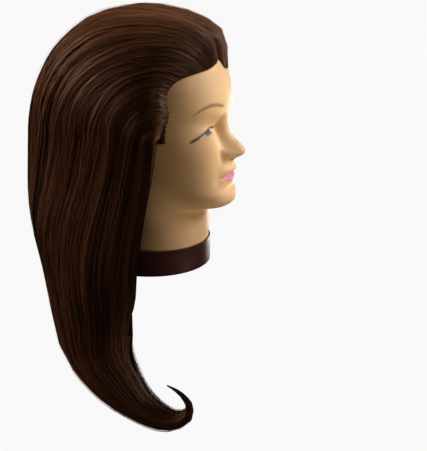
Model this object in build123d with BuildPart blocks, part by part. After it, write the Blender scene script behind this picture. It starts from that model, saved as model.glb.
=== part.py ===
"""Mannequin training head: a soft vinyl head on a round collar, with long hair combed back into one length.

Millimetres. +Z is up, the face looks along -Y, and the head's own right side is -X.
The origin is the centre of the clamp socket's mouth, level with the underside of the base.
"""

import os
from math import copysign, cos, pi, radians, sin, tan

from build123d import *

# ---- Driving dimensions -------------------------------------------------------------------------
COLLAR_RADIUS = 64.2
COLLAR_WALL = 1.5
COLLAR_HEIGHT = 28.0
COLLAR_FLANGE = 3.0
COLLAR_FLANGE_WIDTH = 12.5
COLLAR_EDGE_ROUND = 1.2
PRESS_GAP = 0.1
NEST_GAP = 0.4
NECK_RADIUS = COLLAR_RADIUS - COLLAR_WALL - 2 * PRESS_GAP
SKIN_WALL = 3.2
SOCKET_BORE_RADIUS = 12.5
SOCKET_WALL = 3.5
SOCKET_DEPTH = 62.0
SOCKET_FLANGE_RADIUS = 23.0
SOCKET_FLANGE_THICKNESS = 2.5
SOCKET_END_ROUND = 3.0
PLATE_LEVEL = 14.0
PLATE_THICKNESS = 3.0
RIB_COUNT = 8
RIB_THICKNESS = 2.4
FIT_GAP = 0.3

# Each level section's widest place is this share of the way from its front to its back.
MIDDLE_SHARE = 0.56
FACE_SQUARENESS = 2.35
SKULL_SQUARENESS = 2.1
HAIR_SQUARENESS = 2.2

# The head form grows or shrinks about this point, so that skin, core, cap and hair nest without touching.
FORM_CENTRE_Y = -4.0
FORM_CENTRE_Z = 165.0
CORE_SCALE = 0.958
CAVITY_SCALE = 0.962
CAP_INNER_SCALE = 1.004
CAP_OUTER_SCALE = 1.022
HAIR_INNER_SCALE = 1.026

# Level, front, back and half width of the head form: chin at the bottom, crown at the top.
HEAD_LEVELS = (
    (67.0, -84.0, 8.0, 24.0),
    (73.0, -92.5, 28.0, 37.0),
    (82.0, -94.5, 42.0, 47.0),
    (94.0, -91.5, 54.0, 53.5),
    (106.0, -91.5, 63.0, 57.5),
    (120.0, -91.5, 71.0, 61.0),
    (140.0, -88.5, 79.0, 65.0),
    (161.0, -87.5, 83.5, 67.0),
    (184.0, -90.5, 84.5, 68.5),
    (207.0, -86.5, 81.5, 69.5),
    (228.0, -78.0, 74.0, 66.5),
    (246.0, -61.0, 60.0, 57.0),
    (258.5, -39.0, 41.0, 41.0),
    (265.5, -12.0, 16.0, 15.0),
)

# Level, centre and radius of the neck, which leans back a little under the skull.
NECK_LEVELS = (
    (0.0, 0.0, NECK_RADIUS),
    (COLLAR_HEIGHT, 0.0, NECK_RADIUS),
    (46.0, -1.0, 62.0),
    (70.0, -1.0, 60.0),
    (100.0, 3.0, 57.0),
    (130.0, 8.0, 52.0),
)

# Level, how far forward, and half width of the nose and of the mouth.
NOSE_LEVELS = (
    (162.0, -88.5, 7.0),
    (147.0, -93.0, 8.5),
    (139.0, -99.5, 11.0),
    (132.5, -104.5, 14.0),
    (126.5, -102.5, 15.5),
    (120.5, -95.5, 12.5),
)
MOUTH_LEVELS = (
    (118.0, -89.5, 9.0),
    (113.0, -96.4, 17.0),
    (108.0, -94.8, 22.5),
    (103.5, -92.3, 23.5),
    (99.0, -93.6, 19.0),
    (94.0, -89.5, 11.0),
)
FEATURE_ROOT_Y = -74.0

# The hollows that the eyes sit in: middle and half sizes of the one on the head's left.
EYE_HOLLOW_MIDDLE = (25.0, -93.0, 157.0)
EYE_HOLLOW_HALF = (19.0, 12.5, 12.0)

# The ear's middle and half sizes.
EAR_MIDDLE = (69.0, -17.0, 140.0)
EAR_HALF = (8.0, 16.0, 29.0)

# Level, front, back, half width and sideways middle of the combed hair's outside.
HAIR_LEVELS = (
    (277.0, -20.0, 30.0, 26.0, 0.0),
    (271.5, -48.0, 51.0, 48.0, 0.0),
    (262.0, -72.0, 68.5, 64.0, 0.0),
    (249.0, -83.0, 85.5, 74.0, 0.0),
    (233.0, -85.5, 100.5, 81.0, 0.0),
    (214.0, -86.5, 113.0, 85.5, 0.0),
    (190.0, -88.0, 124.5, 88.0, 0.0),
    (160.0, -90.0, 132.5, 89.0, 0.0),
    (130.0, -90.0, 135.5, 88.5, 0.0),
    (100.0, -90.0, 138.0, 87.0, 0.0),
    (65.0, -88.0, 139.0, 84.0, -2.0),
    (30.0, -84.0, 135.5, 78.0, -5.0),
    (0.0, -60.0, 127.0, 70.0, -9.0),
    (-30.0, -26.0, 119.0, 60.0, -14.0),
    (-60.0, 5.0, 113.5, 49.0, -19.0),
    (-98.0, 18.0, 105.0, 39.0, -25.0),
)

# The hairline and the hair's front edge seen from the side, as (y, z), from the crown's front down to the tail.
HAIRLINE = (
    (-86.0, 218.0),
    (-66.0, 219.0),
    (-43.0, 207.0),
    (-37.5, 194.0),
    (-42.0, 174.0),
    (-35.0, 148.0),
)
HAIR_EDGE = ((-29.0, 114.0), (-25.0, 88.0), (-19.0, 55.0), (-12.0, 15.0), (-5.0, -12.0), (6.0, -50.0), (12.0, -99.0))
CAP_BACK_EDGE = ((-28.0, 176.0), (-10.0, 176.0), (4.0, 158.0), (6.0, 118.0), (24.0, 96.0), (70.0, 84.0))

# The free space that the length of hair leaves under the base: level, sideways and front-back middle, radius.
UNDER_BASE = ((0.5, 0.0, 0.0, COLLAR_RADIUS + 0.6), (-60.0, 8.0, -8.0, 54.0), (-115.0, 12.0, -48.0, 50.0))

# The swing of the free length: its axis runs along X here, and the two lengths meet on a barrel about it.
SWING_Y = 64.0
SWING_Z = -62.0
SWING_RADIUS = 60.0
SWING_BACK_DEG = 35.0
SWING_FRONT_DEG = 12.0
SWING_GAP = 0.6

# Sections of the free length, square to the way it hangs: middle (x, y, z), half width, half depth, and slope.
TAIL_SECTIONS = (
    (-25.0, 61.5, -98.0, 39.0, 43.5, 0.0),
    (-29.0, 54.0, -120.0, 36.0, 38.5, 12.0),
    (-33.0, 40.5, -138.0, 32.0, 34.0, 19.0),
    (-36.5, 23.0, -155.5, 28.0, 27.5, 25.0),
    (-39.0, 3.0, -168.0, 23.5, 20.5, 34.0),
    (-40.0, -15.0, -177.0, 19.5, 16.0, 50.0),
    (-40.5, -33.0, -179.0, 15.5, 12.0, 80.0),
    (-41.0, -50.0, -170.0, 12.0, 8.5, 122.0),
    (-41.0, -54.5, -156.0, 8.0, 5.0, 158.0),
    (-41.0, -48.5, -146.5, 5.0, 2.5, 190.0),
    (-41.0, -40.0, -141.5, 2.5, 1.5, 207.0),
)

# Where the combed hair is parted into its sections.
PART_EAR_Y = -22.0
PART_CROWN_Z = 192.0
PART_BACK_Y = 52.0
PART_NAPE_Z = 88.0
FAR = 400.0

os.makedirs("parts", exist_ok=True)


def superellipse(front, back, half_width, squareness_front, squareness_back, middle_x=0.0, count=16):
    """Points round a level section: the front half and the back half meet at the widest place."""
    middle_y = front + MIDDLE_SHARE * (back - front)
    points = []
    for i in range(count):
        turn = 2 * pi * (i + 0.5) / count
        across, along = sin(turn), -cos(turn)
        power = 2 / (squareness_front if along < 0 else squareness_back)
        depth = (middle_y - front) if along < 0 else (back - middle_y)
        x = middle_x + half_width * copysign(abs(across) ** power, across)
        y = middle_y + depth * copysign(abs(along) ** power, along)
        points.append((x, y))
    return points


def head_form(grow):
    """The head without its neck and features, made larger or smaller about its centre."""
    with BuildPart(mode=Mode.PRIVATE) as form:
        for z, front, back, half_width in HEAD_LEVELS:
            level = FORM_CENTRE_Z + (z - FORM_CENTRE_Z) * grow
            edges = [FORM_CENTRE_Y + (y - FORM_CENTRE_Y) * grow for y in (front, back)]
            outline = superellipse(*edges, half_width * grow, FACE_SQUARENESS, SKULL_SQUARENESS)
            with BuildSketch(Plane.XY.offset(level)):
                with BuildLine():
                    Spline(*outline, periodic=True)
                make_face()
        loft()
    return form.part


def neck_form(grow, bottom=0.0):
    """The neck as a stack of circles, grown or shrunk by a distance."""
    with BuildPart(mode=Mode.PRIVATE) as form:
        for i, (z, middle, radius) in enumerate(NECK_LEVELS):
            with BuildSketch(Plane.XY.offset(bottom if i == 0 else z)):
                with Locations((0, middle)):
                    Circle(radius + grow)
        loft(ruled=True)
    return form.part


def face_feature(levels):
    """A nose or mouth: level ovals that stand out from the face by each level's front."""
    with BuildPart(mode=Mode.PRIVATE) as feature:
        for z, front, half_width in levels:
            with BuildSketch(Plane.XY.offset(z)):
                with Locations((0, FEATURE_ROOT_Y)):
                    Ellipse(half_width, FEATURE_ROOT_Y - front)
        loft()
    return feature.part


def ellipsoid(middle, half_sizes, clearance=0.0):
    """A stretched ball with a small flat at each pole, grown by a clearance."""
    half_x, half_y, half_z = [half + clearance for half in half_sizes]
    with BuildPart(mode=Mode.PRIVATE) as ball:
        for degrees_up in (-80, -55, -28, 0, 28, 55, 80):
            level = middle[2] + half_z * sin(radians(degrees_up))
            narrowing = cos(radians(degrees_up))
            with BuildSketch(Plane.XY.offset(level)):
                with Locations((middle[0], middle[1])):
                    Ellipse(half_x * narrowing, half_y * narrowing)
        loft()
    return ball.part


def both_sides(middle, half_sizes, clearance=0.0):
    """The same stretched ball on the head's right and left."""
    x, y, z = middle
    return [ellipsoid((side * x, y, z), half_sizes, clearance) for side in (-1, 1)]


def ears(clearance=0.0):
    """Both ears."""
    return both_sides(EAR_MIDDLE, EAR_HALF, clearance)


def eye_hollows(clearance=0.0):
    """Both hollows for the eyes."""
    return both_sides(EYE_HOLLOW_MIDDLE, EYE_HOLLOW_HALF, clearance)


def side_cut(points):
    """A wall through the whole width, of this outline as seen from the side."""
    with BuildPart(mode=Mode.PRIVATE) as wall:
        with BuildSketch(Plane.YZ.offset(-FAR / 2)):
            with BuildLine():
                Polyline(*points, close=True)
            make_face()
        extrude(amount=FAR)
    return wall.part


def write(part, name):
    """Labels a finished piece and writes it."""
    part.label = name
    export_step(part, f"parts/{name}.step")
    print(f"{name:26s} solids {len(part.solids())} volume {part.volume / 1000:9.2f} cm3")


# ---- Base: collar, plate and clamp socket ---------------------------------------------------------
with BuildPart() as neck_collar:
    with BuildSketch():
        Circle(COLLAR_RADIUS)
        Circle(COLLAR_RADIUS - COLLAR_WALL, mode=Mode.SUBTRACT)
    extrude(amount=COLLAR_HEIGHT)
    with BuildSketch():
        Circle(COLLAR_RADIUS - COLLAR_WALL)
        Circle(COLLAR_RADIUS - COLLAR_WALL - COLLAR_FLANGE_WIDTH, mode=Mode.SUBTRACT)
    extrude(amount=COLLAR_FLANGE)
    bottom_edges = neck_collar.edges().filter_by(GeomType.CIRCLE).group_by(Axis.Z)[0]
    fillet(bottom_edges.sort_by(SortBy.RADIUS)[-1], COLLAR_EDGE_ROUND)
write(neck_collar.part, "neck_collar")

UPWARD = (Align.CENTER, Align.CENTER, Align.MIN)
SOCKET_OUTER = SOCKET_BORE_RADIUS + SOCKET_WALL
with BuildPart() as clamp_socket:
    Cylinder(SOCKET_OUTER, SOCKET_DEPTH + SOCKET_WALL, align=UPWARD)
    with Locations((0, 0, PLATE_LEVEL + PLATE_THICKNESS)):
        Cylinder(SOCKET_FLANGE_RADIUS, SOCKET_FLANGE_THICKNESS, align=UPWARD)
    Cylinder(SOCKET_BORE_RADIUS, SOCKET_DEPTH, align=UPWARD, mode=Mode.SUBTRACT)
    fillet(clamp_socket.edges().filter_by(GeomType.CIRCLE).group_by(Axis.Z)[-1], SOCKET_END_ROUND)
write(clamp_socket.part, "clamp_socket")

PLATE_RADIUS = NECK_RADIUS - SKIN_WALL - NEST_GAP
RIB_INNER = SOCKET_OUTER + RIB_THICKNESS / 2
RIB_OUTER = PLATE_RADIUS - RIB_THICKNESS / 2
with BuildPart() as base_plate:
    with BuildSketch(Plane.XY.offset(PLATE_LEVEL)):
        Circle(PLATE_RADIUS)
        Circle(SOCKET_OUTER + PRESS_GAP, mode=Mode.SUBTRACT)
    extrude(amount=PLATE_THICKNESS)
    with BuildSketch(Plane.XY.offset(COLLAR_FLANGE + FIT_GAP)):
        Circle(PLATE_RADIUS)
        Circle(PLATE_RADIUS - RIB_THICKNESS, mode=Mode.SUBTRACT)
        Circle(SOCKET_OUTER + RIB_THICKNESS)
        Circle(SOCKET_OUTER + PRESS_GAP, mode=Mode.SUBTRACT)
        with PolarLocations((RIB_INNER + RIB_OUTER) / 2, RIB_COUNT):
            Rectangle(RIB_OUTER - RIB_INNER, RIB_THICKNESS)
    extrude(amount=PLATE_LEVEL - COLLAR_FLANGE)
write(base_plate.part, "base_plate")

# ---- Head: vinyl skin, foam core and scalp cap -----------------------------------------------------
with BuildPart() as head_outside:
    add(head_form(1.0))
    add(eye_hollows(), mode=Mode.SUBTRACT)
    add(neck_form(0.0, bottom=COLLAR_FLANGE))
    add(face_feature(NOSE_LEVELS))
    add(face_feature(MOUTH_LEVELS))
    add(ears())

with BuildPart() as head_cavity:
    add(head_form(CAVITY_SCALE))
    add(eye_hollows(SKIN_WALL), mode=Mode.SUBTRACT)
    add(neck_form(-SKIN_WALL, bottom=-COLLAR_FLANGE))

with BuildPart() as head_skin:
    add(head_outside.part)
    add(head_cavity.part, mode=Mode.SUBTRACT)
write(head_skin.part, "head_skin")

CORE_BOTTOM = PLATE_LEVEL + PLATE_THICKNESS
with BuildPart() as foam_core:
    add(head_form(CORE_SCALE))
    add(eye_hollows(SKIN_WALL + NEST_GAP), mode=Mode.SUBTRACT)
    add(neck_form(-SKIN_WALL - NEST_GAP, bottom=CORE_BOTTOM))
    with BuildSketch(Plane.XY.offset(CORE_BOTTOM)):
        Circle(SOCKET_FLANGE_RADIUS + PRESS_GAP)
    extrude(amount=SOCKET_FLANGE_THICKNESS + PRESS_GAP, mode=Mode.SUBTRACT)
    with BuildSketch():
        Circle(SOCKET_OUTER + PRESS_GAP)
    extrude(amount=SOCKET_DEPTH + SOCKET_WALL + PRESS_GAP, mode=Mode.SUBTRACT)
write(foam_core.part, "foam_core")

above_cap_edge = side_cut((*HAIRLINE, *CAP_BACK_EDGE, (FAR, 80.0), (FAR, FAR), (-FAR, FAR), (-FAR, 250.0)))
with BuildPart() as scalp_cap:
    add(head_form(CAP_OUTER_SCALE))
    add(head_form(CAP_INNER_SCALE), mode=Mode.SUBTRACT)
    add(above_cap_edge, mode=Mode.INTERSECT)
    add(ears(0.6), mode=Mode.SUBTRACT)
    add(neck_form(FIT_GAP), mode=Mode.SUBTRACT)
write(scalp_cap.part, "scalp_cap")

# ---- Hair on the head: one combed mass, parted into its sections -----------------------------------
with BuildPart() as under_base:
    for z, x, y, radius in UNDER_BASE:
        with BuildSketch(Plane.XY.offset(z)):
            with Locations((x, y)):
                Circle(radius)
    loft(ruled=True)

behind_hair_edge = side_cut(
    (*HAIRLINE, *HAIR_EDGE, (16.0, -200.0), (FAR, -200.0), (FAR, FAR), (-FAR, FAR), (-FAR, 235.0), (-90.0, 225.0))
)

with BuildPart() as combed_hair:
    for z, front, back, half_width, middle_x in HAIR_LEVELS:
        with BuildSketch(Plane.XY.offset(z)):
            with BuildLine():
                outline = superellipse(front, back, half_width, HAIR_SQUARENESS, HAIR_SQUARENESS, middle_x)
                Spline(*outline, periodic=True)
            make_face()
    loft()
    add(behind_hair_edge, mode=Mode.INTERSECT)
    add(head_form(HAIR_INNER_SCALE), mode=Mode.SUBTRACT)
    add(neck_form(2.4), mode=Mode.SUBTRACT)
    add(under_base.part, mode=Mode.SUBTRACT)
    add(ears(1.0), mode=Mode.SUBTRACT)

reach = 2 * SWING_RADIUS
back_lift = radians(SWING_BACK_DEG + 3)
front_lift = radians(SWING_FRONT_DEG + 3)
swing_wedge = side_cut(
    (
        (SWING_Y, SWING_Z),
        (SWING_Y + reach, SWING_Z + reach * tan(back_lift)),
        (SWING_Y + reach, -FAR),
        (SWING_Y - reach, -FAR),
        (SWING_Y - reach, SWING_Z + reach * tan(front_lift)),
    )
)
with BuildPart() as swing_drum:
    with BuildSketch(Plane.YZ.offset(-FAR / 2)):
        with Locations((SWING_Y, SWING_Z)):
            Circle(SWING_RADIUS + SWING_GAP)
    extrude(amount=FAR)

with BuildPart() as mantle:
    add(combed_hair.part)
    add(swing_drum.part, mode=Mode.SUBTRACT)
    add(swing_wedge, mode=Mode.SUBTRACT)


def block(x, y, z):
    """A box between these lowest and highest values."""
    sizes = [high - low for low, high in (x, y, z)]
    middle = [(low + high) / 2 for low, high in (x, y, z)]
    return Pos(*middle) * Box(*sizes, mode=Mode.PRIVATE)


SIDES = {"right": (-FAR, 0.0), "left": (0.0, FAR)}
REGIONS = {
    "hair_front": ((-FAR, PART_EAR_Y), (PART_CROWN_Z, FAR)),
    "hair_crown": ((PART_EAR_Y, FAR), (PART_CROWN_Z, FAR)),
    "hair_side": ((-FAR, PART_BACK_Y), (PART_NAPE_Z, PART_CROWN_Z)),
    "hair_back": ((PART_BACK_Y, FAR), (PART_NAPE_Z, PART_CROWN_Z)),
    "hair_nape": ((-FAR, FAR), (-FAR, PART_NAPE_Z)),
}
for region, (y_range, z_range) in REGIONS.items():
    for side_name, x_range in SIDES.items():
        with BuildPart() as section:
            add(mantle.part)
            add(block(x_range, y_range, z_range), mode=Mode.INTERSECT)
        write(section.part, f"{region}_{side_name}")

# ---- Free length of hair: it swings below the collar and curls up at its tip -----------------------
below_swing = block((-FAR, FAR), (-FAR, FAR), (-FAR, SWING_Z))
with BuildPart() as barrel:
    with BuildSketch(Plane.YZ.offset(-FAR / 2)):
        with Locations((SWING_Y, SWING_Z)):
            Circle(SWING_RADIUS)
    extrude(amount=FAR)
    add(below_swing)

with BuildPart() as length_upper:
    add(combed_hair.part)
    add(barrel.part, mode=Mode.INTERSECT)
write(length_upper.part, "hair_length_upper")

TAIL_PIECES = {
    "hair_length_middle": TAIL_SECTIONS[0:3],
    "hair_length_lower": TAIL_SECTIONS[2:6],
    "hair_tip_curl": TAIL_SECTIONS[5:],
}
for name, sections in TAIL_PIECES.items():
    with BuildPart() as piece:
        for x, y, z, half_width, half_depth, slope in sections:
            turn = radians(slope)
            with BuildSketch(Plane((x, y, z), x_dir=(1, 0, 0), z_dir=(0, sin(turn), cos(turn)))):
                Ellipse(half_width, half_depth)
        loft()
    write(piece.part, name)
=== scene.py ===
from math import radians, tan

import bpy
import numpy as np
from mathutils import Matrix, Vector


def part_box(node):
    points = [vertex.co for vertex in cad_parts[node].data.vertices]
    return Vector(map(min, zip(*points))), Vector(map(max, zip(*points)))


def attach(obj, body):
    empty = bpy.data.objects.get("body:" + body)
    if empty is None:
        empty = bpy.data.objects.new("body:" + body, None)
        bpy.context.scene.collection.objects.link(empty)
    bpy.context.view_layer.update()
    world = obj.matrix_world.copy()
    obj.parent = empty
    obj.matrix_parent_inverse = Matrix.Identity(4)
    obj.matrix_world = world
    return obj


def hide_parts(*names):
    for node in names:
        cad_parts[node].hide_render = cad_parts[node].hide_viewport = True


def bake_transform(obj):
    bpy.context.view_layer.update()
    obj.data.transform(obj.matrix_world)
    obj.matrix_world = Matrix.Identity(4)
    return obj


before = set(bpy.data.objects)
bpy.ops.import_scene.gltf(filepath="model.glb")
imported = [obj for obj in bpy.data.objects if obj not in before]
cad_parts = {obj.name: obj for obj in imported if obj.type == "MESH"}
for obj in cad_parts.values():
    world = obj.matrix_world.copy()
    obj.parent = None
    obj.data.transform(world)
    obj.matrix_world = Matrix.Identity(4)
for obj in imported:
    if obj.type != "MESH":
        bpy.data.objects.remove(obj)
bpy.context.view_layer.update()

MM = 0.001
# How often a ray's reach is halved to find where it leaves a form.
HALVINGS = 22


# ---- Small helpers --------------------------------------------------------------------------------
def smooth_table(rows):
    """A function that runs smoothly through rows of (place, value, ...), flat beyond both ends."""
    rows = np.array(sorted(rows), float)
    places, values = rows[:, 0], rows[:, 1:]
    slopes = np.gradient(values, places, axis=0)

    def at(place):
        q = np.clip(np.asarray(place, float), places[0], places[-1])
        i = np.clip(np.searchsorted(places, q, side="right") - 1, 0, len(places) - 2)
        step = places[i + 1] - places[i]
        t = ((q - places[i]) / step)[..., None]
        step = step[..., None]
        result = (
            (2 * t**3 - 3 * t**2 + 1) * values[i]
            + (t**3 - 2 * t**2 + t) * step * slopes[i]
            + (3 * t**2 - 2 * t**3) * values[i + 1]
            + (t**3 - t**2) * step * slopes[i + 1]
        )
        return np.moveaxis(result, -1, 0)

    return at


def ramp(x, start, end):
    """0 before start, 1 after end, and smooth between."""
    t = np.clip((x - start) / (end - start), 0, 1)
    return t * t * (3 - 2 * t)


def bell(x, middle, width):
    """A smooth bump of height 1."""
    return np.exp(-(((x - middle) / width) ** 2))


def power_sum(across, along, power):
    """Distance from the middle of a superellipse, where 1 is its edge."""
    return (np.abs(across) ** power + np.abs(along) ** power) ** (1 / power)


def shoot(inside, origin, direction, reach):
    """Where rays from inside a form leave it; inside(points) is negative within."""
    low = np.zeros(direction.shape[:-1])
    high = np.full(direction.shape[:-1], float(reach))
    for _ in range(HALVINGS):
        middle = (low + high) / 2
        within = inside(origin + direction * middle[..., None]) < 0
        low = np.where(within, middle, low)
        high = np.where(within, high, middle)
    return low


def new_mesh(name, points, faces, material, attributes=None):
    """A smooth mesh object from points in millimetres."""
    mesh = bpy.data.meshes.new(name)
    mesh.from_pydata(np.asarray(points, float).reshape(-1, 3) * MM, [], faces)
    mesh.polygons.foreach_set("use_smooth", np.ones(len(mesh.polygons), bool))
    for key, values in (attributes or {}).items():
        attribute = mesh.attributes.new(key, "FLOAT", "POINT")
        attribute.data.foreach_set("value", np.asarray(values, np.float32).ravel())
    mesh.materials.append(material)
    mesh.update()
    piece = bpy.data.objects.new(name, mesh)
    bpy.context.scene.collection.objects.link(piece)
    return piece


def grid_faces(rows, columns, wrap=False):
    """Quads of a grid of points, closed across its columns if wrap is set."""
    quad_columns = columns if wrap else columns - 1
    row, column = np.meshgrid(np.arange(rows - 1), np.arange(quad_columns), indexing="ij")
    after = (column + 1) % columns
    this_row = row * columns
    next_row = (row + 1) * columns
    quads = np.stack([this_row + column, this_row + after, next_row + after, next_row + column], -1)
    return quads.reshape(-1, 4)


def ring_face(row, columns):
    """One face that closes a whole row of a grid."""
    return list(range(row * columns, (row + 1) * columns))


# ---- The head's form: level sections close to those of the CAD skin --------------------------------
COLLAR_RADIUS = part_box("neck_collar")[1][0] / MM
COLLAR_HEIGHT = 28.0
NECK_RADIUS = COLLAR_RADIUS - 1.7
HEAD_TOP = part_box("head_skin")[1][2] / MM
CORE_INSET = 3.0
CORE_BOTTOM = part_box("foam_core")[0][2] / MM
CHIN_BOTTOM = 65.5
NECK_TOP = 130.0
# How much further outside a place counts for each millimetre past the end of a form.
END_SLOPE = 4
JAW_FILLET = 12.0
FACE_SQUARENESS = 2.35
SKULL_SQUARENESS = 2.1
HAIR_SQUARENESS = 2.2
MIDDLE_SHARE = 0.56

# level, front, back, half width
head_table = smooth_table(
    [
        (CHIN_BOTTOM, -66.0, -6.0, 10.0),
        (67.5, -80.0, 8.0, 24.0),
        (70.5, -88.0, 20.0, 34.0),
        (75.0, -92.0, 31.0, 40.5),
        (83.0, -94.3, 42.0, 47.0),
        (94.0, -91.0, 54.0, 53.5),
        (106.0, -91.0, 63.0, 57.5),
        (120.0, -90.5, 71.0, 61.0),
        (140.0, -88.0, 79.0, 65.0),
        (161.0, -86.0, 83.5, 67.0),
        (184.0, -88.5, 84.5, 68.5),
        (207.0, -84.5, 81.5, 69.5),
        (228.0, -77.5, 74.0, 66.5),
        (246.0, -61.0, 60.0, 57.0),
        (258.5, -38.0, 41.0, 40.0),
        (HEAD_TOP, -10.0, 12.0, 10.0),
    ]
)
# level, middle, radius
neck_table = smooth_table(
    [
        (0.0, 0.0, NECK_RADIUS),
        (COLLAR_HEIGHT, 0.0, NECK_RADIUS),
        (46.0, -1.5, 62.5),
        (70.0, -1.0, 60.0),
        (100.0, 3.0, 57.0),
        (NECK_TOP, 8.0, 52.0),
    ]
)


def within_head(points):
    """Negative inside the head and neck, in rough millimetres, with a soft fillet where they meet."""
    x, y, z = np.moveaxis(points, -1, 0)
    front, back, half_width = head_table(z)
    middle = front + MIDDLE_SHARE * (back - front)
    forward = y < middle
    depth = np.where(forward, middle - front, back - middle)
    power = np.where(forward, FACE_SQUARENESS, SKULL_SQUARENESS)
    head = (power_sum(x / half_width, (y - middle) / depth, power) - 1) * np.minimum(half_width, depth)
    head = head + END_SLOPE * np.clip(CHIN_BOTTOM - z, 0, None)
    head = head + END_SLOPE * np.clip(z - HEAD_TOP, 0, None)
    neck_middle, neck_radius = neck_table(z)
    neck = np.hypot(x, y - neck_middle) - neck_radius
    neck = neck + END_SLOPE * np.clip(z - NECK_TOP, 0, None)
    share = np.clip(0.5 + (head - neck) / (2 * JAW_FILLET), 0, 1)
    return head * (1 - share) + neck * share - JAW_FILLET * share * (1 - share)


# ---- The face's features, as how far the skin stands out or in, for a place across and up the face ---
# level, how far the nose stands out, half width
nose_table = smooth_table(
    [
        (174.0, 0.0, 9.0),
        (165.0, 0.8, 8.5),
        (158.0, 1.5, 8.0),
        (150.0, 3.4, 8.5),
        (144.0, 6.8, 9.5),
        (139.0, 11.2, 11.0),
        (134.0, 15.4, 13.5),
        (130.5, 16.8, 13.5),
        (127.5, 16.0, 13.0),
        (124.5, 11.8, 12.5),
        (121.5, 6.0, 11.5),
        (117.5, 2.2, 9.0),
        (113.0, 1.0, 8.0),
    ]
)
IRIS_X = 32.6
IRIS_Z = 154.0
IRIS_RADIUS = 4.6
PUPIL_RADIUS = 3.1
EYE_PAINT_EDGE = 0.3
MOUTH_HALF = 24.0
MOUTH_CORNER_Z = 104.0
UPPER_LIP_TOP = 110.0
LOWER_LIP_BOTTOM = 96.0
EAR_MIDDLE = (69.0, -12.0, 140.0)
EAR_HALF = (16.0, 29.0)
# distance from the middle of the face, level
eye_top = smooth_table(
    [
        (16.0, 155.0), (21.0, 157.4), (27.0, 158.6), (33.0, 157.4),
        (39.0, 154.4), (44.0, 150.8), (51.0, 145.4),
    ]
)
eye_bottom = smooth_table(
    [
        (16.0, 154.6), (21.0, 154.0), (27.0, 153.4), (33.0, 152.0),
        (39.0, 150.0), (44.0, 149.6), (51.0, 146.0),
    ]
)
brow_line = smooth_table(
    [
        (14.0, 178.5), (22.0, 181.0), (31.0, 182.6),
        (39.0, 182.0), (45.0, 178.6), (52.5, 170.5),
    ]
)


def lip_edges(across):
    """Upper edge, parting and lower edge of the lips, for a distance from the middle."""
    t = np.clip(np.abs(across) / MOUTH_HALF, 0, 1)
    upper = UPPER_LIP_TOP + (MOUTH_CORNER_Z - UPPER_LIP_TOP) * t**1.6 - 1.3 * bell(across, 0, 3.0)
    parting = MOUTH_CORNER_Z + 0.9 * np.sin(t * 5.5) * (1 - t)
    lower = LOWER_LIP_BOTTOM + (MOUTH_CORNER_Z - LOWER_LIP_BOTTOM) * t**2.0
    return upper, parting, lower


def feature_height(x, z):
    """How far the features stand out of the plain face, in millimetres.

    Each bump is its height times two bells: middle and width across, then middle and width upwards.
    """
    across = np.abs(x)
    stand, width = nose_table(z)
    nose_power = 1.6 + 0.7 * ramp(-z, -140, -130)
    nose = stand * np.exp(-((across / width) ** nose_power)) * (z > 105)
    wing = 3.4 * bell(across, 14.5, 5.0) * bell(z, 128.0, 6.0)
    crease = -1.6 * bell(across, 22.0, 3.0) * bell(z, 127.0, 7.0)
    nostril = -5.0 * bell(across, 7.0, 2.8) * bell(z, 121.5, 2.4)
    _, parting, _ = lip_edges(x)
    fullness = np.clip(1 - (across / (MOUTH_HALF + 2)) ** 2, 0, 1) ** 1.1
    upper_lip = 4.1 * fullness * bell(z, 111.0, 4.4) * (0.72 + 0.28 * ramp(across, 0, 4))
    lower_lip = 2.4 * fullness * bell(z, 99.0, 4.6)
    parted = -3.4 * fullness * bell(z, parting, 1.7)
    under_lip = -1.8 * bell(across, 0, 15) * bell(z, 91.0, 4.0)
    corner = -1.3 * bell(across, MOUTH_HALF + 1, 6.0) * bell(z, 101.5, 6.0)
    brow_ridge = 1.6 * bell(across, 26, 20) * bell(z, 173.0, 7.0)
    beside_nose = -5.5 * bell(across, 16.0, 8.0) * bell(z, 144, 13)
    cheek = 2.0 * bell(across, 40, 14) * bell(z, 131, 14)
    fold = -0.5 * bell(across, 24 + (127 - z) * 0.25, 6.0) * bell(z, 117, 9)
    chin = 2.0 * bell(across, 0, 14) * bell(z, 78, 8)
    return (
        nose + wing + crease + nostril + upper_lip + lower_lip + parted
        + under_lip + corner + brow_ridge + beside_nose + cheek + fold + chin
    )


def eye_depth(across, z):
    """How far the skin near the eyes lies behind the plain face: socket, soft lid and open slit."""
    hollow = 6.0 * bell(across, 27, 14) * bell(z, 157, 9.5)
    inner_corner = 5.5 * bell(across, 13.5, 5.5) * bell(z, 157, 10)
    lid = 3.4 * bell(across, 33, 11) * bell(z, 153.5, 6.5)
    lash_rim = 0.6 * bell(z, eye_top(across)[0] + 0.8, 1.2)
    lash_rim = lash_rim * ramp(across, 17, 22) * ramp(-across, -50, -45)
    return hollow + inner_corner - lid - lash_rim + 1.2 * slit_share(across, z)


def slit_share(across, z):
    """1 inside the opening between the lids."""
    top, bottom = eye_top(across)[0], eye_bottom(across)[0]
    inside = ramp(z, bottom - 0.2, bottom + 0.5) * ramp(-z, -top - 0.2, -top + 0.5)
    return inside * ramp(across, 19.5, 21.0) * ramp(-across, -44.0, -43.0)


JAW_TIP = 34
FACE_TURN = 62
FACE_COLUMNS = 220
BACK_COLUMNS = 90
HEAD_REACH = 150


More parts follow.
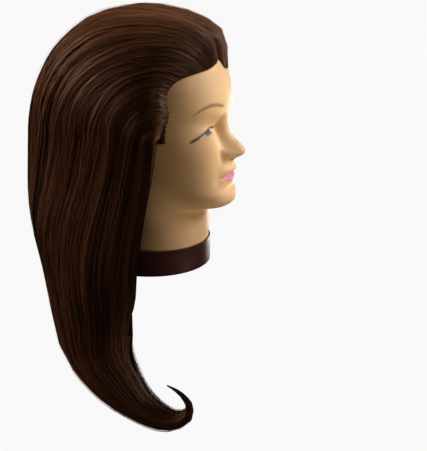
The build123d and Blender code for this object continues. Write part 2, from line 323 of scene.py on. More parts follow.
def head_grid():
    """Starting points on the axis and points on the skin: rings that tip forward under the jaw."""
    levels = np.concatenate([
        np.arange(3.0, 44.0, 2.0),
        np.arange(44.0, 84.0, 1.4),
        np.arange(84.0, 196.0, 0.62),
        np.arange(196.0, 246.0, 1.5),
        np.arange(246.0, HEAD_TOP - 2.0, 1.0),
    ])
    tip = radians(JAW_TIP) * ramp(levels, 30, 92) * (1 - ramp(levels, 128, 236))
    face_turn = np.radians(np.linspace(-FACE_TURN, FACE_TURN, FACE_COLUMNS, endpoint=False))
    back_turn = np.radians(np.linspace(FACE_TURN, 360 - FACE_TURN, BACK_COLUMNS, endpoint=False))
    turn = np.concatenate([face_turn, back_turn])
    across, ahead = np.sin(turn), np.cos(turn)
    direction = np.stack(np.broadcast_arrays(
        across[None, :],
        -ahead[None, :] * np.cos(tip)[:, None],
        -ahead[None, :] * np.sin(tip)[:, None],
    ), -1)
    centre_y = -14.0 * ramp(levels, 60, 120) + 10.0 * ramp(levels, 200, 262)
    origin = np.stack([0 * levels, centre_y, levels], -1)[:, None, :]
    reach = shoot(within_head, origin, direction, HEAD_REACH)
    points = origin + direction * reach[..., None]
    x, y, z = np.moveaxis(points, -1, 0)
    facing = ramp(-y, 30, 62) * ramp(z, 66, 76)
    y = y - feature_height(x, z) * facing
    y = y + eye_depth(np.abs(x), z) * facing
    return origin, np.stack([x, y, z], -1)


def build_core(material):
    """The foam core: the skin's own form, set in by the wall, open at the bottom and closed on top."""
    origin, skin = HEAD_GRID
    ray = skin - origin
    reach = np.linalg.norm(ray, axis=-1, keepdims=True)
    rows = origin[:, 0, 2] >= CORE_BOTTOM
    points = (origin + ray * (1 - CORE_INSET / reach))[rows]
    count, columns = points.shape[:2]
    faces = grid_faces(count, columns, wrap=True).tolist()
    faces.append(ring_face(count - 1, columns))
    return new_mesh("core", points, faces, material)


def build_head(material):
    """The vinyl head, denser over the face, with the places of its paint, painted shade on the neck and
    beside the nose among them.
    """
    points = HEAD_GRID[1]
    x, y, z = np.moveaxis(points, -1, 0)
    across = np.abs(x)
    upper, _, lower = lip_edges(x)
    front = ramp(-y, 50, 60)
    lips = ramp(z, lower - 0.4, lower + 0.6) * ramp(-z, -upper - 0.4, -upper + 0.6)
    lips = lips * (across < MOUTH_HALF)
    brow_z = brow_line(across)[0]
    brow_width = 1.5 * ramp(across, 13, 22) * ramp(-across, -55, -40) + 0.2
    brow = bell(z, brow_z, brow_width) * ramp(across, 13, 17) * ramp(-across, -55, -46)
    lash_width = 1.1 + 0.6 * ramp(across, 22, 38)
    lash = np.exp(-(((z - eye_top(across)[0] - 0.3) / lash_width) ** 4)) * ramp(across, 17, 21)
    lash = lash * ramp(-across, -51.5, -49)
    lower_lash = 0.35 * bell(z, eye_bottom(across)[0] - 0.1, 0.6)
    lower_lash = lower_lash * ramp(across, 20, 26) * ramp(-across, -47, -42)
    slit = slit_share(across, z)
    iris_distance = np.hypot(across - IRIS_X, z - IRIS_Z)
    in_iris = ramp(-iris_distance, -IRIS_RADIUS - EYE_PAINT_EDGE, -IRIS_RADIUS + EYE_PAINT_EDGE)
    in_pupil = ramp(-iris_distance, -PUPIL_RADIUS - EYE_PAINT_EDGE, -PUPIL_RADIUS + EYE_PAINT_EDGE)
    attributes = {
        "lips": lips * front,
        "brow": brow * front,
        "lash": np.clip(lash + lower_lash, 0, 1) * front,
        "eye_white": slit * front,
        "iris": slit * front * in_iris,
        "pupil": slit * front * in_pupil,
        "blush": bell(across, 42, 16) * bell(z, 128, 14) * front,
        # Painted shade: the neck takes a deeper tone from 72 mm down, in full below 50 mm, as in the
        # head's shadow.
        "neck": ramp(-z, -72, -50),
        # Painted shade beside the nose, where the nose's side lies in shade.
        "nose_side_shade": bell(across, 11, 5) * bell(z, 148, 15) * front,
    }
    rows, columns = y.shape
    faces = grid_faces(rows, columns, wrap=True).tolist()
    faces.append(ring_face(rows - 1, columns))
    return new_mesh("head_vinyl", points, faces, material, attributes)


def build_ear(side, material):
    """An ear with a rolled rim and a lobe that hangs forward; the hair hides most of it."""
    ring = np.linspace(0, 2 * np.pi, 72, endpoint=False)[None, :]
    out = np.concatenate([np.linspace(0.04, 1, 26), [1.04, 1.03, 0.95, 0.86]])[:, None]
    z = EAR_MIDDLE[2] + EAR_HALF[1] * out * np.cos(ring)
    low = 1 - ramp(z, 112, 138)
    y = EAR_MIDDLE[1] - 8.5 * low + (EAR_HALF[0] - 8.0 * low) * out * np.sin(ring)
    rim = 4.0 * bell(out, 0.88, 0.13)
    fold = 2.4 * bell(out, 0.52, 0.14) * ramp(z, 122, 134)
    hollow = -2.0 * bell(out, 0.2, 0.25)
    stand = 5.0 + rim + fold + hollow
    # The last four rings turn back from the rim into the head.
    stand[-4:] = np.array([[7.0], [4.5], [1.5], [-3.0]])
    x = side * (EAR_MIDDLE[0] - 4.5 + stand + 0 * ring)
    points = np.stack(np.broadcast_arrays(x, y, z), -1)
    rows, columns = points.shape[:2]
    faces = grid_faces(rows, columns, wrap=True).tolist()
    faces.append(ring_face(0, columns))
    return new_mesh("ear_left" if side > 0 else "ear_right", points, faces, material)


# ---- Hair: one set of flow lines from the hairline over the head and down to the tip -----------------
PIVOT = np.array([0.0, -30.0, 150.0])
HAIR_TOP = 277.0
TAIL_TOP = -98.0
HAIR_REACH = 230
# level, front, back, half width, sideways middle
hair_table = smooth_table(
    [
        (HAIR_TOP, -16.0, 30.0, 26.0, 0.0),
        (271.5, -38.5, 51.0, 48.0, 0.0),
        (262.0, -63.0, 68.5, 64.0, 0.0),
        (249.0, -79.5, 85.5, 74.0, 0.0),
        (233.0, -83.0, 101.0, 81.0, 0.0),
        (214.0, -84.5, 113.0, 85.5, 0.0),
        (190.0, -88.0, 124.5, 88.0, 0.0),
        (160.0, -90.0, 132.5, 89.0, 0.0),
        (130.0, -90.0, 135.5, 88.5, 0.0),
        (100.0, -90.0, 138.0, 87.0, 0.0),
        (65.0, -88.0, 139.0, 84.0, -2.0),
        (30.0, -84.0, 135.5, 78.0, -5.0),
        (0.0, -60.0, 127.0, 70.0, -9.0),
        (-30.0, -20.0, 119.0, 60.0, -14.0),
        (-60.0, 6.0, 113.5, 49.0, -19.0),
        (TAIL_TOP, 18.0, 105.0, 39.0, -25.0),
    ]
)
# lane, from the near ear at -1 over the forehead to the far ear at 1, and how many degrees the
# hairline is turned up there from straight ahead, about the line through the pivot from ear to ear
hairline_turn = smooth_table(
    [
        (-1.0, 0.0), (-0.97, 20.0), (-0.93, 45.0), (-0.87, 56.0), (-0.8, 60.0), (-0.73, 64.0),
        (-0.67, 71.0), (-0.6, 76.0), (-0.53, 74.5), (-0.46, 70.0), (-0.39, 64.5), (-0.31, 60.0),
        (-0.2, 57.0), (-0.12, 57.2), (-0.07, 58.3), (-0.045, 57.0), (-0.02, 54.0), (0.02, 52.5),
        (0.08, 52.0), (0.14, 52.5), (0.2, 54.5), (0.31, 59.0), (0.39, 64.5), (0.46, 70.0),
        (0.53, 74.5), (0.6, 76.0), (0.67, 71.0), (0.73, 64.0), (0.8, 60.0), (0.87, 56.0),
        (0.93, 45.0), (0.97, 20.0), (1.0, 0.0),
    ]
)
# level, where the flow lines fan out from (across, back), near and far edges' turn from straight back
edge_table = smooth_table(
    [
        (150.0, 0.0, -30.0, 90.8, 90.8),
        (114.0, 0.0, -16.0, 98.0, 98.0),
        (88.0, 0.0, -6.0, 102.5, 101.0),
        (55.0, 0.0, 4.0, 105.5, 96.0),
        (25.0, -1.0, 14.0, 109.5, 84.0),
        (0.0, -4.0, 25.0, 116.0, 76.0),
        (-30.0, -9.0, 37.0, 128.0, 80.0),
        (-60.0, -16.0, 50.0, 146.0, 104.0),
        (-80.0, -21.0, 57.0, 158.0, 128.0),
        (TAIL_TOP, -25.0, 61.5, 168.0, 148.0),
    ]
)
# order along the tail, middle (x, y, z), half width, half depth, slope, and the near and far edges' turn
tail_table = smooth_table(
    [
        (0, -25.0, 61.5, TAIL_TOP, 39.0, 43.0, 0.0, 168.0, 148.0),
        (1, -29.0, 54.0, -120.0, 36.0, 37.0, 12.0, 175.0, 163.0),
        (2, -33.0, 40.5, -138.0, 32.0, 32.0, 19.0, 179.0, 174.0),
        (3, -36.5, 23.0, -155.5, 28.0, 25.5, 25.0, 180.0, 180.0),
        (4, -39.0, 3.0, -168.0, 23.5, 19.0, 34.0, 180.0, 180.0),
        (5, -40.0, -16.0, -177.0, 19.5, 15.0, 50.0, 180.0, 180.0),
        (6, -40.5, -34.0, -179.5, 15.5, 11.5, 80.0, 180.0, 180.0),
        (7, -41.0, -52.0, -171.5, 11.0, 7.5, 118.0, 180.0, 180.0),
        (8, -41.0, -55.5, -158.0, 7.0, 4.0, 150.0, 180.0, 180.0),
        (9, -41.0, -49.5, -148.0, 4.5, 2.0, 188.0, 180.0, 180.0),
        (10, -40.0, -39.5, -141.0, 3.0, 1.1, 208.0, 180.0, 180.0),
        (11, -39.0, -28.5, -137.0, 1.2, 0.5, 214.0, 180.0, 180.0),
    ]
)
TAIL_END = 11


def hair_section(z):
    """Middle and half sizes of the hair's outline at a level."""
    front, back, half_width, middle_x = hair_table(z)
    middle_y = front + MIDDLE_SHARE * (back - front)
    return middle_x, middle_y, half_width, middle_y - front, back - middle_y


def within_hair(points):
    """Negative inside the hair's outer form."""
    x, y, z = np.moveaxis(points, -1, 0)
    middle_x, middle_y, half_width, ahead, behind = hair_section(z)
    depth = np.where(y < middle_y, ahead, behind)
    outside = power_sum((x - middle_x) / half_width, (y - middle_y) / depth, HAIR_SQUARENESS) - 1
    return outside + np.clip(z - HAIR_TOP - 0.5, 0, None)


# The free space under the base: how it leans and narrows for each millimetre down, and its levels.
SPACE_ACROSS = 0.13
SPACE_AHEAD = 0.2
SPACE_TAPER = 0.19
SPACE_CLEARANCE = 1.0
SPACE_ONLY_BELOW = 2
SPACE_TOP = 32


def within_under_base(points):
    """Negative inside the head, the neck, or the free space that the hair leaves under the base."""
    x, y, z = np.moveaxis(points, -1, 0)
    drop = np.clip(-z, 0, None)
    space_radius = COLLAR_RADIUS + SPACE_CLEARANCE - drop * SPACE_TAPER
    space = np.hypot(x - drop * SPACE_ACROSS, y + drop * SPACE_AHEAD) - space_radius
    beside_neck = np.minimum(within_head(points), np.where(z < SPACE_TOP, space, 1.0))
    return np.where(z < SPACE_ONLY_BELOW, space, beside_neck)


ARC_ROWS, DROP_ROWS, TAIL_ROWS = 20, 14, 20
LANES = 241
THINNEST = 3.0
# Where the hair is thinner than this, strands and grooves lie less deep.
THIN_HAIR = 12
LOCKS = 84
MASS_DEPTH = 3.0
BEND_HEIGHT = 0.8
SWEEP = 0.4


def swept(lane, z):
    """Lanes crowded towards the two front edges at ear level, and even again lower down."""
    return np.sign(lane) * np.abs(lane) ** (1 - SWEEP * ramp(z, -60, 200))


def flow_grid():
    """Outer and inner points of the hair: rows from root to tip, lanes from the near edge to the far."""
    lane = np.linspace(-1, 1, LANES)
    tilt = lane * np.pi / 2
    root = np.radians(hairline_turn(lane)[0])
    first = np.stack([np.sin(tilt), -np.cos(tilt) * np.cos(root), np.cos(tilt) * np.sin(root)], -1)
    fall = np.radians(edge_table(PIVOT[2])[2] * swept(lane, PIVOT[2]))
    last = np.stack([np.sin(fall), np.cos(fall), 0 * fall], -1)
    bend = last + np.array([0, 0, 1]) * first[:, 2:] * BEND_HEIGHT
    outer, inner = [], []
    for step in np.linspace(0, 1, ARC_ROWS):
        direction = (1 - step) ** 2 * first + 2 * step * (1 - step) * bend + step**2 * last
        direction /= np.linalg.norm(direction, axis=-1, keepdims=True)
        outer.append(PIVOT + direction * shoot(within_hair, PIVOT, direction, HAIR_REACH)[:, None])
        inner.append(PIVOT + direction * shoot(within_head, PIVOT, direction, HAIR_REACH)[:, None])
    for z in np.linspace(PIVOT[2], TAIL_TOP, DROP_ROWS + 1)[1:]:
        from_x, from_y, near, far = (float(v) for v in edge_table(z))
        turn = np.radians(swept(lane, z) * np.where(lane < 0, near, far))
        origin = np.array([from_x, from_y, z])
        direction = np.stack([np.sin(turn), np.cos(turn), 0 * turn], -1)
        reach = shoot(within_hair, origin, direction, HAIR_REACH)
        free = shoot(within_under_base, origin, direction, HAIR_REACH)
        free = np.minimum(free, reach - THINNEST)
        outer.append(origin + direction * reach[:, None])
        inner.append(origin + direction * free[:, None])
    for place in np.linspace(0, TAIL_END, TAIL_ROWS + 1)[1:]:
        x, y, z, half_width, half_depth, slope, near, far = (float(v) for v in tail_table(place))
        lean = radians(slope)
        turn = np.radians(np.where(lane < 0, lane * near, lane * far))
        middle = np.array([x, y, z])
        along = np.array([0, np.cos(lean), -np.sin(lean)])
        side = np.array([1, 0, 0])
        rim = np.outer(half_width * np.sin(turn), side) + np.outer(half_depth * np.cos(turn), along)
        outer.append(middle + rim)
        inner.append(np.repeat(middle[None, :], LANES, 0))
    return lane, np.array(outer), np.array(inner)


def relief(lane, place):
    """How deep the broad locks of the combed hair lie below its outer form."""
    waves = np.sin(lane * 29 + 2.2 * np.sin(lane * 8) + place * 3.5)
    waves = waves + 0.7 * np.sin(lane * 61 + place * 6 + 1)
    return (0.36 * waves + 0.7) * ramp(place, 0.02, 0.2) * (1 - 0.6 * ramp(place, 0.75, 0.95))


def lane_points(grid, lane_place):
    """Points of a grid at any lane, given for each strand and row, by steps between neighbouring lanes."""
    place = np.clip((lane_place + 1) / 2 * (LANES - 1), 0, LANES - 1.001)
    low = place.astype(int)
    share = (place - low)[..., None]
    row = np.arange(grid.shape[0])[None, :]
    return grid[row, low] * (1 - share) + grid[row, low + 1] * share


WHOLE_SPAN = (-1.0, 1.0, 1.0)
LEAST_HEIGHT = 0.35
# How far a strand may start ahead of the hairline, as a share of its first step.
ROOT_COVER = 0.22
ROLL = 0.3
SHORTENING = 0.3


def strand_ribbons(name, material, count, width, depth_range, wander, band, seed, span=WHOLE_SPAN):
    """Fine flat ribbons in loose locks, as one mesh.

    span is the first and the last lane, and the share of the hair's length.
    """
    rng = np.random.default_rng(seed)
    first_lane, last_lane, length_share = span
    _, outer, inner = FLOW
    total = outer.shape[0]
    place = np.linspace(0, 1, total)[None, :]
    lock = rng.uniform(first_lane, last_lane, (count * 3, 1))
    liked = 0.35 + 0.65 * (0.5 + 0.5 * np.sin(lock[:, 0] * 17 + band))
    lock = lock[rng.uniform(0, 1, count * 3) < liked][:count]
    lock = np.resize(np.round(lock * LOCKS) / LOCKS, (count, 1))
    lane = lock + rng.normal(0, wander, (count, 1))
    drift = 0.004 * np.sin(place * 6 + lock * 40)
    waver = 0.4 * wander * np.sin(place * 17 + rng.uniform(0, 6, (count, 1)))
    lane = lane + drift + waver
    gather = ramp(place, 0.6, 0.97)
    lane = np.clip(lane * (1 - 0.3 * gather) + lock * 0.3 * gather, -0.999, 0.999)
    low, high = depth_range
    depth = rng.uniform(low, high, (count, 1)) + relief(lane, place)
    outside = lane_points(outer, lane)
    inside = lane_points(inner, lane)
    thickness = np.linalg.norm(outside - inside, axis=-1)
    outward = (outside - inside) / np.maximum(thickness, 1e-3)[..., None]
    lift = ramp(place, -0.01, rng.uniform(0.02, 0.09, (count, 1)))
    sunk = depth * np.clip(thickness / THIN_HAIR, 0, 1)
    height = np.maximum((thickness - sunk) * lift, LEAST_HEIGHT)
    points = inside + outward * height[..., None]
    ahead_of_root = inside[:, 0] - inside[:, 1]
    ahead_of_root *= rng.uniform(0, ROOT_COVER, (count, 1))
    points[:, 0] += ahead_of_root
    tangent = np.gradient(points, axis=1)
    tangent /= np.maximum(np.linalg.norm(tangent, axis=-1), 1e-6)[..., None]
    side = np.cross(tangent, outward)
    side /= np.maximum(np.linalg.norm(side, axis=-1), 1e-6)[..., None]
    roll = rng.normal(0, ROLL, (count, 1, 1))
    side = side * np.cos(roll) + outward * np.sin(roll)
    end = length_share * (1 - SHORTENING * rng.uniform(0, 1, (count, 1)) ** 2.5)
    half = width * rng.uniform(0.6, 1.3, (count, 1)) / 2
    from_root = 0.35 + 0.65 * ramp(place, 0, 0.06)
    to_tip = np.clip((end - place) * 12 + 0.05, 0.05, 1)
    half = half * from_root * to_tip
    left = points - side * half[..., None]
    right = points + side * half[..., None]
    vertices = np.stack([left, right], axis=2)
    strand, row = np.nonzero(np.broadcast_to(place[:, :-1] < end, (count, total - 1)))
    first = (strand * total + row) * 2
    faces = np.stack([first, first + 1, first + 3, first + 2], -1)
    return new_mesh(name, vertices, faces, material)


def hair_mass(material):
    """The closed body of hair under the loose strands, grooved along the flow."""
    lane, outer, inner = FLOW
    total = outer.shape[0]
    place = np.linspace(0, 1, total)[:, None]
    thickness = np.linalg.norm(outer - inner, axis=-1)
    outward = (outer - inner) / np.maximum(thickness, 1e-3)[..., None]
    groove = 0.3 * np.sin(lane * 150 + 2 * np.sin(lane * 23)) + relief(lane, place)
    sunk = (MASS_DEPTH + groove) * np.clip(thickness / THIN_HAIR, 0, 1)
    height = np.maximum((thickness - sunk) * ramp(place, -0.01, 0.13), 0.2)
    shell = inner + outward * height[..., None]
    lining = inner + outward * 0.1
    ring = np.concatenate([shell, lining[:, ::-1]], axis=1)
    lanes = np.broadcast_to(np.concatenate([lane, lane[::-1]])[None, :], ring.shape[:2])
    along = np.broadcast_to(place, ring.shape[:2])
    rows, columns = ring.shape[:2]
    faces = grid_faces(rows, columns, wrap=True).tolist()
    faces.append(ring_face(0, columns)[::-1])
    faces.append(ring_face(rows - 1, columns))
    return new_mesh("hair_mass", ring, faces, material, {"lane": lanes, "along": along})


EDGE_BOTTOM = 146
EDGE_TOP = 182
EDGE_ROWS = 60
EDGE_REACH = 120


def cap_edge(material):
    """The scalloped edge of the scalp cap in front of each ear, as one thin strip a side."""
    points, faces = [], []
    levels = np.linspace(EDGE_BOTTOM, EDGE_TOP, EDGE_ROWS)
    for side in (-1, 1):
        scallops = 1.1 * np.abs(np.sin((levels - EDGE_BOTTOM) * 0.62))
        front = -36.5 - 4.5 * bell(levels, 178, 13) - scallops - 1.5
        across = np.stack([front + 9, front + 3, front + 0.4, front], 1)
        rise = np.array([1.6, 1.5, 1.2, 0.1])[None, :]
        direction = np.stack(np.broadcast_arrays(side, 0 * across, 0 * across), -1).astype(float)
        origin = np.stack(np.broadcast_arrays(0 * across, across, levels[:, None]), -1)
        reach = shoot(within_head, origin, direction, EDGE_REACH) + rise
        grid = origin + direction * reach[..., None]
        faces.append(grid_faces(*across.shape) + len(points) * across.size)
        points.append(grid.reshape(-1, 3))
    return new_mesh("cap_edge", np.concatenate(points), np.concatenate(faces), material)


# ---- Materials ------------------------------------------------------------------------------------
def plain_material(name, colour, roughness, **sockets):
    """A Principled material with its whole-surface values set on the shader."""
    material = bpy.data.materials.new(name)
    material.use_nodes = True
    shader = material.node_tree.nodes["Principled BSDF"]
    shader.inputs["Base Color"].default_value = (*colour, 1)
    shader.inputs["Roughness"].default_value = roughness
    for key, value in sockets.items():
        shader.inputs[key.replace("_", " ")].default_value = value
    return material


def add_noise(material, scale, stretch=(1, 1, 1), detail=4.0):
    """A noise texture in object coordinates."""
    nodes, links = material.node_tree.nodes, material.node_tree.links
    place = nodes.new("ShaderNodeTexCoord")
    mapping = nodes.new("ShaderNodeMapping")
    mapping.inputs["Scale"].default_value = stretch
    noise = nodes.new("ShaderNodeTexNoise")
    noise.inputs["Scale"].default_value = scale
    noise.inputs["Detail"].default_value = detail
    links.new(place.outputs["Object"], mapping.inputs["Vector"])
    links.new(mapping.outputs["Vector"], noise.inputs["Vector"])
    return noise.outputs["Fac"]


def add_bump(material, height, strength, distance):
    """Bump from a height socket."""
    nodes, links = material.node_tree.nodes, material.node_tree.links
    bump = nodes.new("ShaderNodeBump")
    bump.inputs["Strength"].default_value = strength
    bump.inputs["Distance"].default_value = distance
    links.new(height, bump.inputs["Height"])
    links.new(bump.outputs["Normal"], nodes["Principled BSDF"].inputs["Normal"])


def mix_colour(material, factor, first, second):
    """A colour between first and second, each a colour or a socket."""
    nodes, links = material.node_tree.nodes, material.node_tree.links
    mix = nodes.new("ShaderNodeMix")
    mix.data_type = "RGBA"
    sockets = [s for s in mix.inputs if s.type == "RGBA"]
    for socket, value in zip(sockets, (first, second)):
        if isinstance(value, tuple):
            socket.default_value = (*value, 1)
        else:
            links.new(value, socket)
    links.new(factor, mix.inputs["Factor"])
    return [s for s in mix.outputs if s.type == "RGBA"][0]


def attribute_value(material, name):
    """A mesh attribute as a number."""
    node = material.node_tree.nodes.new("ShaderNodeAttribute")
    node.attribute_name = name
    return node.outputs["Fac"]


def spread_value(material, value, low, high, to_low, to_high):
    """A value mapped from one range to another, and held inside it."""
    node = material.node_tree.nodes.new("ShaderNodeMapRange")
    material.node_tree.links.new(value, node.inputs["Value"])
    for key, number in (("From Min", low), ("From Max", high), ("To Min", to_low), ("To Max", to_high)):
        node.inputs[key].default_value = number
    return node.outputs["Result"]


def vinyl_material():
    """Soft satin vinyl with painted brows, lashes, eyes and lips, and painted shade on the neck and beside
    the nose.
    """
    material = plain_material("skin_vinyl", (0.76, 0.51, 0.29), 0.42, Specular_IOR_Level=0.35)
    links = material.node_tree.links
    shader = material.node_tree.nodes["Principled BSDF"]
    shader.inputs["Subsurface Weight"].default_value = 0.2
    shader.inputs["Subsurface Radius"].default_value = (1.0, 0.4, 0.15)
    shader.inputs["Subsurface Scale"].default_value = 0.004
    mottle = spread_value(material, add_noise(material, 45), 0.35, 0.65, 0, 1)
    colour = mix_colour(material, mottle, (0.74, 0.49, 0.275), (0.78, 0.53, 0.31))
    for name, paint, strength in (
        # Painted shade on the lower neck.
        ("neck", (0.45, 0.285, 0.15), 0.7),
        # Painted shade beside the nose.
        ("nose_side_shade", (0.52, 0.25, 0.09), 0.5),
        ("blush", (0.74, 0.44, 0.29), 0.2),
        ("lips", (0.68, 0.225, 0.31), 0.92),
        ("brow", (0.17, 0.08, 0.05), 0.8),
        ("eye_white", (0.52, 0.47, 0.45), 1.0),
        ("iris", (0.035, 0.018, 0.012), 1.0),
        ("pupil", (0.01, 0.008, 0.008), 1.0),
        ("lash", (0.09, 0.025, 0.012), 0.95),
    ):
        share = spread_value(material, attribute_value(material, name), 0, 1, 0, strength)
        colour = mix_colour(material, share, colour, paint)
    links.new(colour, shader.inputs["Base Color"])
    add_bump(material, add_noise(material, 900, detail=2), 0.10, 0.0004)
    return material


def collar_material():
    """Glossy dark maroon band with faint flow marks."""
    material = plain_material("collar_gloss", (0.030, 0.009, 0.008), 0.16, Specular_IOR_Level=0.6)
    shader = material.node_tree.nodes["Principled BSDF"]
    marks = spread_value(material, add_noise(material, 30, (1, 1, 6)), 0.35, 0.7, 0, 1)
    colour = mix_colour(material, marks, (0.022, 0.007, 0.006), (0.050, 0.015, 0.013))
    material.node_tree.links.new(colour, shader.inputs["Base Color"])
    rough = spread_value(material, add_noise(material, 60), 0.3, 0.7, 0.26, 0.40)
    material.node_tree.links.new(rough, shader.inputs["Roughness"])
    add_bump(material, add_noise(material, 220), 0.12, 0.0005)
    return material


def moulded_material(name, dark, light, roughness):
    """Moulded plastic or foam with a fine uneven grain."""
    material = plain_material(name, dark, roughness)
    shader = material.node_tree.nodes["Principled BSDF"]
    grain = add_noise(material, 350)
    colour = mix_colour(material, spread_value(material, grain, 0.3, 0.7, 0, 1), dark, light)
    material.node_tree.links.new(colour, shader.inputs["Base Color"])
    add_bump(material, grain, 0.25, 0.0006)
    return material


def hair_mass_material():
    """Dark brown hair with streaks that run along the flow."""
    material = plain_material("hair_under", (0.03, 0.013, 0.008), 0.6, Specular_IOR_Level=0.0)
    nodes, links = material.node_tree.nodes, material.node_tree.links
    shader = nodes["Principled BSDF"]
    combine = nodes.new("ShaderNodeCombineXYZ")
    links.new(attribute_value(material, "lane"), combine.inputs["X"])
    links.new(attribute_value(material, "along"), combine.inputs["Y"])
    mapping = nodes.new("ShaderNodeMapping")
    mapping.inputs["Scale"].default_value = (160, 5, 1)
    noise = nodes.new("ShaderNodeTexNoise")
    noise.inputs["Scale"].default_value = 1.0
    noise.inputs["Detail"].default_value = 6.0
    links.new(combine.outputs["Vector"], mapping.inputs["Vector"])
    links.new(mapping.outputs["Vector"], noise.inputs["Vector"])
    streak = spread_value(material, noise.outputs["Fac"], 0.35, 0.68, 0, 1)
    colour = mix_colour(material, streak, (0.010, 0.005, 0.003), (0.060, 0.026, 0.014))
    links.new(colour, shader.inputs["Base Color"])
    add_bump(material, noise.outputs["Fac"], 0.6, 0.0015)
    return material


# ---- Build ----------------------------------------------------------------------------------------
vinyl = vinyl_material()
HEAD_GRID = head_grid()
head = build_head(vinyl)
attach(head, "head")
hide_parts("head_skin")
for side in (-1, 1):
    ear_vinyl = moulded_material(f"ear_vinyl_{side + 1}", (0.70, 0.46, 0.26), (0.75, 0.50, 0.29), 0.45)
    ear = build_ear(side, ear_vinyl)
    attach(ear, "head")
cap_weave = moulded_material("cap_weave", (0.006, 0.004, 0.003), (0.03, 0.014, 0.010), 0.6)
edge = cap_edge(cap_weave)
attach(edge, "head")
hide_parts("scalp_cap")

FLOW = flow_grid()
mass = hair_mass(hair_mass_material())
HAIR_NODES = [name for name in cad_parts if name.startswith("hair_")]
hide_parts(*HAIR_NODES)
hair_pieces = [mass]

STRAND_SHINE = 0.14
FIRST_SEED = 20
# tone, colour, roughness, how many, width, how deep under the surface, wander within a lock, band
TONES = (
    ("shadow", (0.012, 0.005, 0.003), 0.45, 1700, 1.0, (1.2, 3.0), 0.018, 0.0),
    ("dark", (0.030, 0.0125, 0.0065), 0.42, 1800, 0.8, (0.4, 2.2), 0.020, 1.0),
    ("deep", (0.050, 0.021, 0.011), 0.42, 1800, 0.7, (0.2, 2.0), 0.020, 3.0),
    ("brown", (0.080, 0.034, 0.018), 0.42, 1800, 0.6, (0.1, 1.6), 0.020, 4.5),
    ("warm", (0.115, 0.049, 0.026), 0.42, 1300, 0.5, (0.0, 1.0), 0.022, 5.5),
    ("light", (0.17, 0.075, 0.042), 0.42, 450, 0.45, (0.0, 0.6), 0.024, 2.0),
    ("flyaway", (0.080, 0.034, 0.020), 0.42, 160, 0.3, (-1.8, 0.0), 0.03, 0.0),
)
# These tones end at this share of the length, so the hanging length is darker than the crown: painted
# shade, where the light falls off down the hair.
TONE_SHARES = {"brown": 0.75, "warm": 0.5, "light": 0.4}
for order, (tone, colour, roughness, *layout) in enumerate(TONES):
    strand_material = plain_material(
        f"hair_{tone}", colour, roughness,
        Specular_IOR_Level=STRAND_SHINE, Specular_Tint=(1.0, 0.6, 0.4, 1),
    )
    span = (-1.0, 1.0, TONE_SHARES.get(tone, 1.0))
    hair_pieces.append(
        strand_ribbons(f"strands_{tone}", strand_material, *layout, FIRST_SEED + order, span)
    )

# The tuft over the forehead: lighter strands on the first part of the front lanes, their lighter colour a
# painted highlight on the tuft's lit side.
TUFT_SPAN = (-0.10, 0.22, 0.13)
TUFT_LAYOUT = (420, 0.5, (-0.5, 0.3), 0.02, 2.0)
TUFT_SEED = 40
# The tuft's lighter colour is a painted highlight.
tuft_highlight_material = plain_material("hair_tuft_painted_highlight", (0.21, 0.098, 0.056), 0.42, Specular_IOR_Level=STRAND_SHINE)
hair_pieces.append(
    strand_ribbons("strands_tuft", tuft_highlight_material, *TUFT_LAYOUT, TUFT_SEED, TUFT_SPAN)
)
for piece in hair_pieces:
    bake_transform(piece)


def paint_node(name, material):
    """A CAD node keeps its shape and takes a new material."""
    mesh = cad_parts[name].data
    mesh.materials.clear()
    mesh.materials.append(material)


paint_node("neck_collar", collar_material())
black_plastic = moulded_material("base_black", (0.012, 0.012, 0.013), (0.022, 0.021, 0.021), 0.45)
paint_node("base_plate", black_plastic)
paint_node("clamp_socket", black_plastic)
core_foam = moulded_material("core_foam", (0.55, 0.44, 0.28), (0.66, 0.55, 0.36), 0.8)
core = build_core(core_foam)
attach(core, "head")
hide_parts("foam_core")

# ---- Stage, light and camera --------------------------------------------------------------------------
FLOOR_DROP = 0.9
STUDIO_RADIUS = 6.0
STUDIO_GLOW = 0.94
AMBIENT = 0.03


def studio_shell():
    """A pale flat floor inside a pale dome, which glow evenly by themselves."""
    bpy.ops.mesh.primitive_uv_sphere_add(segments=96, ring_count=64, radius=STUDIO_RADIUS)
    shell = bpy.context.object
    shell.name = "floor"
    for vertex in shell.data.vertices:
        vertex.co.z = max(vertex.co.z, -FLOOR_DROP)
    pale = plain_material(
        "floor_pale", (0.05, 0.05, 0.05), 0.9,
        Emission_Color=(1, 1, 1, 1), Emission_Strength=STUDIO_GLOW,
    )
    shell.data.materials.append(pale)
    shell.visible_diffuse = False
    shell.visible_glossy = False
    shell.visible_transmission = False
    shell.visible_shadow = False


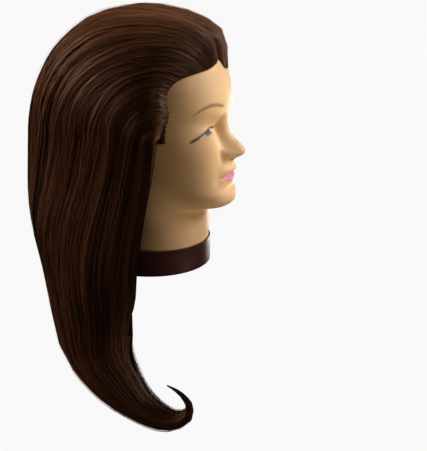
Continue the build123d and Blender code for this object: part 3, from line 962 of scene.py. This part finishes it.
def soft_light(name, place, aim, size, power, colour, spread=180):
    """A square area light that points at a place, and lights a cone of that many degrees."""
    data = bpy.data.lights.new(name, "AREA")
    data.size = size
    data.spread = radians(spread)
    data.energy = power
    data.color = colour
    light = bpy.data.objects.new(name, data)
    light.location = place
    light.rotation_euler = (Vector(aim) - Vector(place)).to_track_quat("-Z", "Y").to_euler()
    bpy.context.scene.collection.objects.link(light)
    return light


studio_shell()
soft_light("key_front", (0.50, -1.24, 0.95), (0, -0.05, 0.25), 0.6, 1.46, (1.0, 0.97, 0.90), 32)
soft_light("top_back", (-0.26, 1.15, 0.75), (-0.05, 0.10, 0.21), 1.4, 10.5, (1.0, 0.78, 0.60), 40)
low_bounce = soft_light(
    "low_bounce", (0.0, -1.05, -0.35), (0, -0.05, 0.14), 0.4, 0.36, (1.0, 0.84, 0.62), 40
)
low_bounce.visible_glossy = False
collar_glint = soft_light(
    "collar_glint", (1.1, -0.25, -0.15), (0, 0, 0.02), 0.4, 0.8, (1.0, 0.92, 0.88), 90
)
collar_glint.visible_diffuse = False

world = bpy.data.worlds.new("studio")
world.use_nodes = True
world.node_tree.nodes["Background"].inputs["Color"].default_value = (1.0, 0.82, 0.62, 1)
world.node_tree.nodes["Background"].inputs["Strength"].default_value = AMBIENT
bpy.context.scene.world = world
bpy.context.scene.view_settings.view_transform = "Standard"

CAMERA_PLACE = Vector((-0.984, -0.372, 0.378))
CAMERA_TURN = -73.0
CAMERA_DROP = 18.0
CAMERA_FIELD = 25.6
SENSOR_WIDTH = 36.0
camera_data = bpy.data.cameras.new("camera")
camera_data.sensor_width = SENSOR_WIDTH
camera_data.sensor_fit = "AUTO"
camera_data.lens = SENSOR_WIDTH / 2 / tan(radians(CAMERA_FIELD / 2))
camera = bpy.data.objects.new("camera", camera_data)
camera.location = CAMERA_PLACE
camera.rotation_euler = (radians(90 - CAMERA_DROP), 0, radians(CAMERA_TURN))
bpy.context.scene.collection.objects.link(camera)
bpy.context.scene.camera = camera
